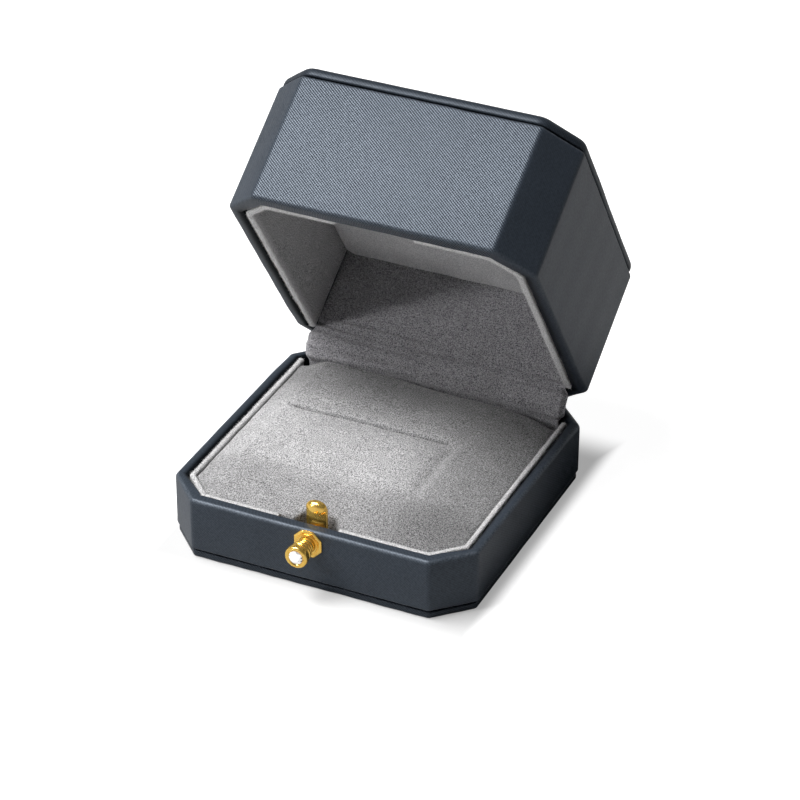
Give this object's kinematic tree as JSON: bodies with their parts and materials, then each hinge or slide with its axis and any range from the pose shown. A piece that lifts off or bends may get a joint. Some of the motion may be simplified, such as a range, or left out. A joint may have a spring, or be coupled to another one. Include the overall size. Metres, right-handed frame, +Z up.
{
  "type": "ring box",
  "caption": "Octagonal clamshell ring box, shown open, with a sprung lid, a push-button catch and a padded velvet ring cushion.",
  "frame": {"origin": "centre of the underside of the board that the box stands on", "axes": "+Z up, -Y out of the front with the push button, +X to the right"},
  "size_m": [0.065, 0.0954, 0.0828],
  "materials": {
    "leather_slate": "embossed fine grain, satin",
    "shell_plastic": "moulded, matt",
    "board_grey": "pressed greyboard",
    "velvet_grey": "short-pile velvet",
    "foam_white": "open-cell foam",
    "gilt_brass": "polished gold plate",
    "crystal_clear": "facetted clear stone",
    "steel_zinc": "zinc-plated, satin",
    "steel_spring": "spring steel, bright"
  },
  "bodies": {
    "base": {"base_board": "board_grey", "base_board_wrap": "leather_slate", "base_shell": "shell_plastic", "base_wrap": "leather_slate", "base_collar": "velvet_grey", "base_back_panel": "velvet_grey", "pad_board": "board_grey", "pad_foam": "velvet_grey", "ring_bar": "velvet_grey", "hinge_base_leaf": "steel_zinc", "base_hinge_rivets": "steel_zinc", "hinge_pin": "steel_zinc", "hinge_spring": "steel_spring", "hinge_flap": "velvet_grey", "latch_flange": "gilt_brass", "latch_bush": "gilt_brass", "latch_nut": "gilt_brass", "button_spring": "steel_spring"},
    "button": {"button_head": "gilt_brass", "crystal": "crystal_clear", "button_stem": "gilt_brass", "catch_hook": "gilt_brass"},
    "lid": {"lid_shell": "shell_plastic", "lid_wrap": "leather_slate", "top_board": "board_grey", "top_board_wrap": "leather_slate", "lid_liner": "velvet_grey", "lid_back_panel": "velvet_grey", "lid_ceiling_pad": "velvet_grey", "lid_ceiling_board": "board_grey", "lid_packing": "foam_white", "hinge_lid_leaf": "steel_zinc", "lid_hinge_rivets": "steel_zinc", "keeper_plate": "gilt_brass", "keeper_rivets": "gilt_brass"}
  },
  "joints": [
    {"name": "lid_hinge", "type": "hinge", "parent": "base", "child": "lid", "pos_m": [0, 0.0314, 0.01335], "axis": [1, 0, 0], "range_deg": [0, 55.7], "stiffness_Nm_per_rad": 0.015, "springref_deg": -34.38, "deforming": ["hinge_flap", "hinge_spring"]},
    {"name": "button_push", "type": "slide", "parent": "base", "child": "button", "axis": [0, 1, 0], "range_m": [0, 0.0013], "stiffness_N_per_m": 300, "springref_m": -0.001, "deforming": ["button_spring"]}
  ]
}
